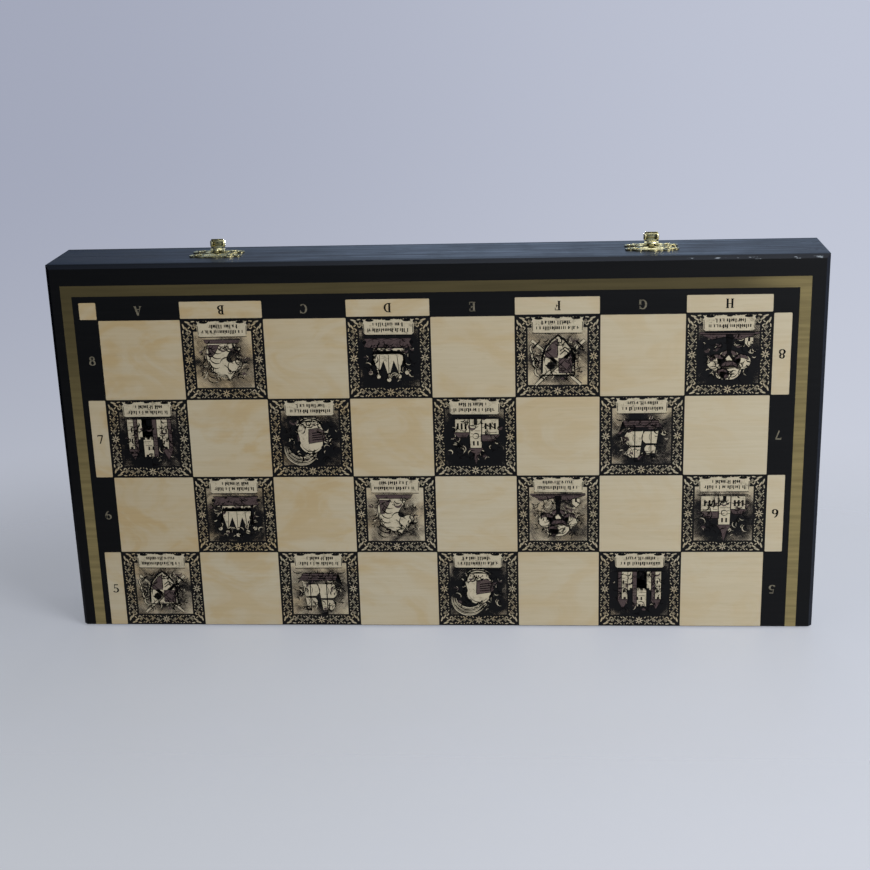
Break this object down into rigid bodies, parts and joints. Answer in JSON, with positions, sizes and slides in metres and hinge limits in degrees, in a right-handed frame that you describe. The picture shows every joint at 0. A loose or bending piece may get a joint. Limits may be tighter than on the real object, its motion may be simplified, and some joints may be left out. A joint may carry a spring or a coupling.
{
  "type": "folding chess set",
  "caption": "Folding wooden chess case, shut and standing on its hinge edge, with two brass latches, let-in hinges, flocked trays and the chessmen packed inside.",
  "frame": {"origin": "middle of the case, level with the lowest point of the hinge knuckles that it stands on", "axes": "+X along the case to the right seen from the front board, +Y from the front board to the back board, +Z from the hinge edge up to the latch edge"},
  "size_m": [0.4, 0.045, 0.212],
  "materials": {
    "printed_board": "printed and varnished veneer",
    "stained_rail": "black stain, satin varnish",
    "tray_flock": "flocked",
    "base_felt": "felt",
    "black_men": "dark stain, lacquered",
    "white_men": "clear lacquer",
    "small_steel": "brass plated",
    "latch_brass": "pressed, worn plating"
  },
  "bodies": {
    "front_half": {"front_board": "printed_board", "front_latch_rail": "stained_rail", "front_hinge_rail": "stained_rail", "front_left_rail": "stained_rail", "front_right_rail": "stained_rail", "front_tray": "tray_flock", "front_latch_nails": "small_steel", "front_hinge_screws": "small_steel", "left_hinge_front_leaf": "latch_brass", "left_hinge_pin": "latch_brass", "right_hinge_front_leaf": "latch_brass", "right_hinge_pin": "latch_brass", "left_catch_plate": "latch_brass", "right_catch_plate": "latch_brass", "black_king": "black_men", "black_queen": "black_men", "black_bishops": "black_men", "black_knights": "black_men", "black_rooks": "black_men", "black_pawns": "black_men", "black_felts": "base_felt"},
    "back_half": {"back_board": "printed_board", "back_latch_rail": "stained_rail", "back_hinge_rail": "stained_rail", "back_left_rail": "stained_rail", "back_right_rail": "stained_rail", "back_tray": "tray_flock", "back_latch_nails": "small_steel", "back_hinge_screws": "small_steel", "left_hinge_back_leaf": "latch_brass", "right_hinge_back_leaf": "latch_brass", "left_hasp_plate": "latch_brass", "left_hasp_pin": "latch_brass", "right_hasp_plate": "latch_brass", "right_hasp_pin": "latch_brass", "white_king": "white_men", "white_queen": "white_men", "white_bishops": "white_men", "white_knights": "white_men", "white_rooks": "white_men", "white_pawns": "white_men", "white_felts": "base_felt"},
    "left_hasp_body": {"left_hasp": "latch_brass"},
    "right_hasp_body": {"right_hasp": "latch_brass"}
  },
  "joints": [
    {"name": "case_hinge", "type": "hinge", "parent": "front_half", "child": "back_half", "pos_m": [0, 0, 0.001], "axis": [-1, 0, 0], "range_deg": [0, 180]},
    {"name": "left_hasp_turn", "type": "hinge", "parent": "back_half", "child": "left_hasp_body", "pos_m": [-0.114, 0.0026, 0.20615], "axis": [1, 0, 0], "range_deg": [-60, 90]},
    {"name": "right_hasp_turn", "type": "hinge", "parent": "back_half", "child": "right_hasp_body", "pos_m": [0.1128, 0.0026, 0.20615], "axis": [1, 0, 0], "range_deg": [-60, 90]}
  ]
}
